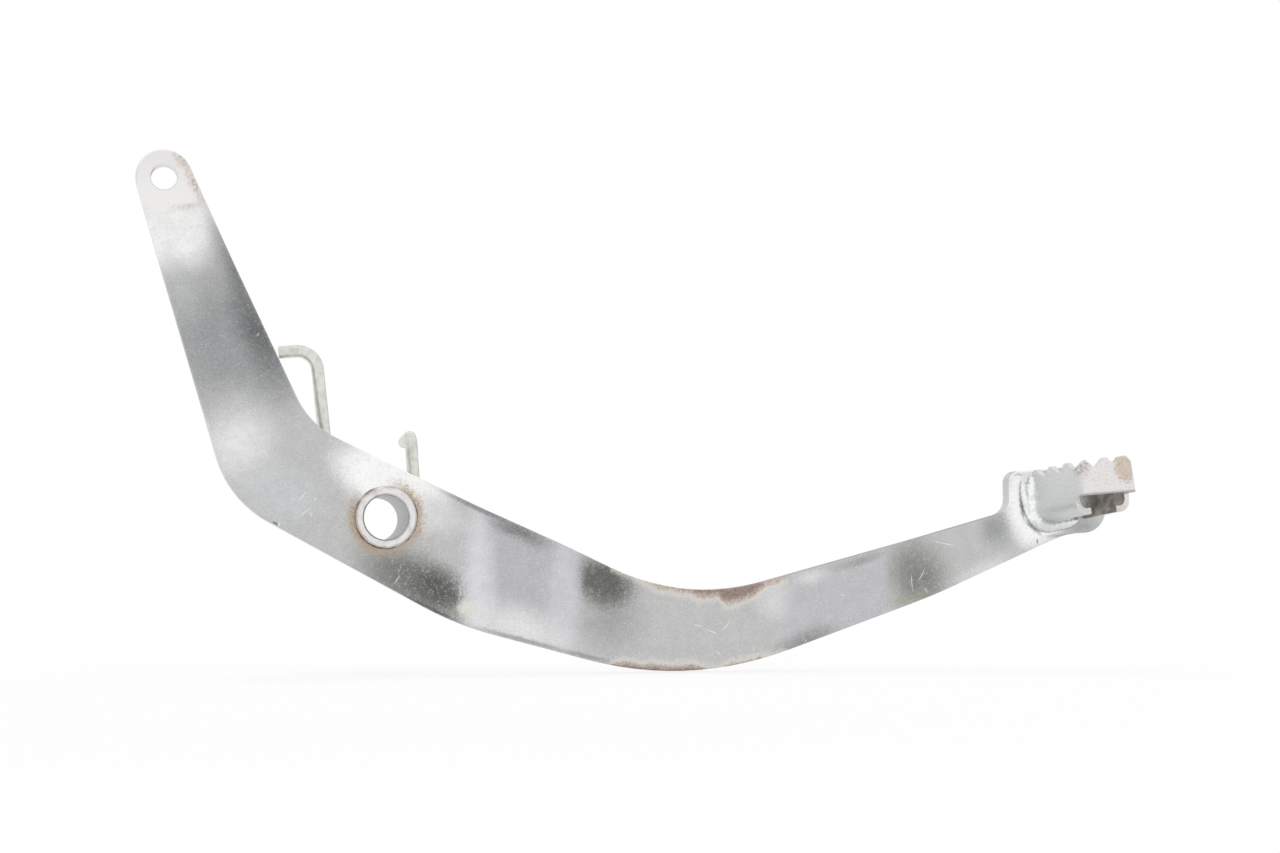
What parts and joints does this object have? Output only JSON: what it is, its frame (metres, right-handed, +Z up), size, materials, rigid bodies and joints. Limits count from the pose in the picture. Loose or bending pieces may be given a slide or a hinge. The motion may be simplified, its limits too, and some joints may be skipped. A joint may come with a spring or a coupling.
{
  "type": "rear brake pedal",
  "caption": "Foot brake lever: pressed steel plate arm with a welded pivot tube, an eye for the brake rod's clevis, a folded serrated toe tread and a wire return spring.",
  "frame": {"origin": "on the pivot axis, at the middle of the arm plate's thickness beside the pivot", "axes": "+X forward to the toe tread, +Y inboard along the pivot axis, +Z up"},
  "size_m": [0.3172, 0.0812, 0.1634],
  "materials": {
    "arm": "satin silver finish, worn, with spots of rust",
    "tube": "bare turned steel",
    "weld": "silver finish over a weld bead",
    "tread": "satin silver finish, rusty at the edges",
    "spring": "yellowish zinc plate"
  },
  "bodies": {
    "root": {"pedal_arm": "arm", "pivot_tube": "tube", "pivot_weld": "weld", "toe_tread": "tread", "toe_weld": "weld", "return_spring": "spring"}
  },
  "joints": []
}
